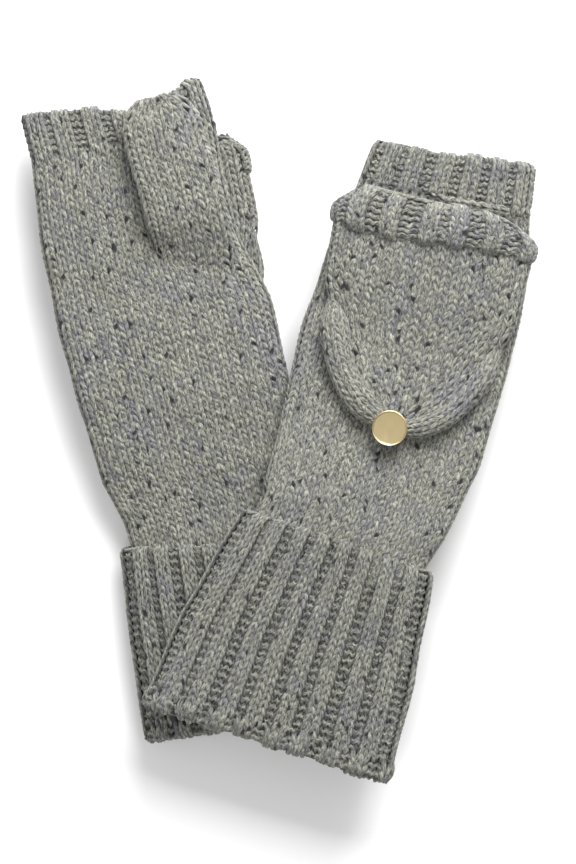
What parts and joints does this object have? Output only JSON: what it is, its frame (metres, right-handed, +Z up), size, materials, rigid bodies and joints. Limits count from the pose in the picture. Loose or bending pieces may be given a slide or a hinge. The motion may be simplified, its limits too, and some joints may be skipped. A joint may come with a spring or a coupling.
{
  "type": "convertible flip-top mittens",
  "caption": "Pair of hand-knitted flip-top mittens with ribbed, turned-up cuffs, folding thumbs and button-down caps, laid flat.",
  "frame": {"origin": "middle of the underside of the pair as laid flat, on the surface it lies on", "axes": "+Z up from the surface, +Y from the cuffs towards the fingers, +X towards the left-hand mitten"},
  "size_m": [0.2376, 0.3173, 0.0336],
  "materials": {
    "body_yarn": "marled tweed wool, stockinette",
    "rib_yarn": "marled tweed wool, two by two rib",
    "loop_yarn": "single strand of the same wool",
    "sewing_thread": "waxed cotton thread",
    "brushed_gold": "brushed, pale gold plating"
  },
  "bodies": {
    "right_hand": {"right_hand_tube": "body_yarn", "right_finger_rib": "rib_yarn", "right_finger_bind_off": "rib_yarn", "right_thumb_seam": "rib_yarn", "right_wrist_rib": "rib_yarn", "right_cuff_fold": "rib_yarn", "right_cuff_turn_up": "rib_yarn", "right_cuff_bind_off": "rib_yarn", "right_cap_seam": "rib_yarn", "right_button_thread": "sewing_thread"},
    "right_cap": {"right_cap_shell": "body_yarn", "right_cap_hem": "rib_yarn", "right_cap_band_thumb_side": "body_yarn", "right_cap_band_little_side": "body_yarn", "right_cap_loop": "loop_yarn"},
    "right_thumb_stall": {"right_thumb": "body_yarn"},
    "right_button": {"right_button_shell": "brushed_gold", "right_button_back": "brushed_gold", "right_button_shank": "brushed_gold"},
    "left_hand": {"left_hand_tube": "body_yarn", "left_finger_rib": "rib_yarn", "left_finger_bind_off": "rib_yarn", "left_thumb_seam": "rib_yarn", "left_wrist_rib": "rib_yarn", "left_cuff_fold": "rib_yarn", "left_cuff_turn_up": "rib_yarn", "left_cuff_bind_off": "rib_yarn", "left_cap_seam": "rib_yarn", "left_button_thread": "sewing_thread"},
    "left_cap": {"left_cap_shell": "body_yarn", "left_cap_hem": "rib_yarn", "left_cap_band_thumb_side": "body_yarn", "left_cap_band_little_side": "body_yarn", "left_cap_loop": "loop_yarn"},
    "left_thumb_stall": {"left_thumb": "body_yarn"},
    "left_button": {"left_button_shell": "brushed_gold", "left_button_back": "brushed_gold", "left_button_shank": "brushed_gold"}
  },
  "joints": [
    {"name": "right_cap_flip", "type": "hinge", "parent": "right_hand", "child": "right_cap", "pos_m": [-0.06426, 0.12995, 0.0053], "axis": [0.9796, 0.2011, 0], "range_deg": [0, 180], "deforming": ["right_cap_loop"]},
    {"name": "right_thumb_fold", "type": "hinge", "parent": "right_hand", "child": "right_thumb_stall", "pos_m": [-0.03635, 0.06561, 0.02522], "axis": [0.9971, -0.0767, 0], "range_deg": [0, 110]},
    {"name": "right_button_turn", "type": "hinge", "parent": "right_hand", "child": "right_button", "pos_m": [-0.03804, 0.02796, 0.00306], "axis": [0, 0, 1], "range_deg": [-20, 20]},
    {"name": "left_mitten_lift", "type": "slide", "parent": "right_hand", "child": "left_hand", "axis": [0, 0, 1], "range_m": [0, 0.08]},
    {"name": "left_cap_flip", "type": "hinge", "parent": "left_hand", "child": "left_cap", "pos_m": [0.07385, 0.102, 0.0261], "axis": [-0.9857, 0.1685, 0], "range_deg": [0, 180], "deforming": ["left_cap_loop"]},
    {"name": "left_thumb_fold", "type": "hinge", "parent": "left_hand", "child": "left_thumb_stall", "pos_m": [0.06664, 0.03137, 0.00669], "axis": [-0.8171, 0.5764, 0], "range_deg": [0, 110]},
    {"name": "left_button_turn", "type": "hinge", "parent": "left_hand", "child": "left_button", "pos_m": [0.04892, -0.00051, 0.03118], "axis": [0, 0, 1], "range_deg": [-20, 20]}
  ]
}
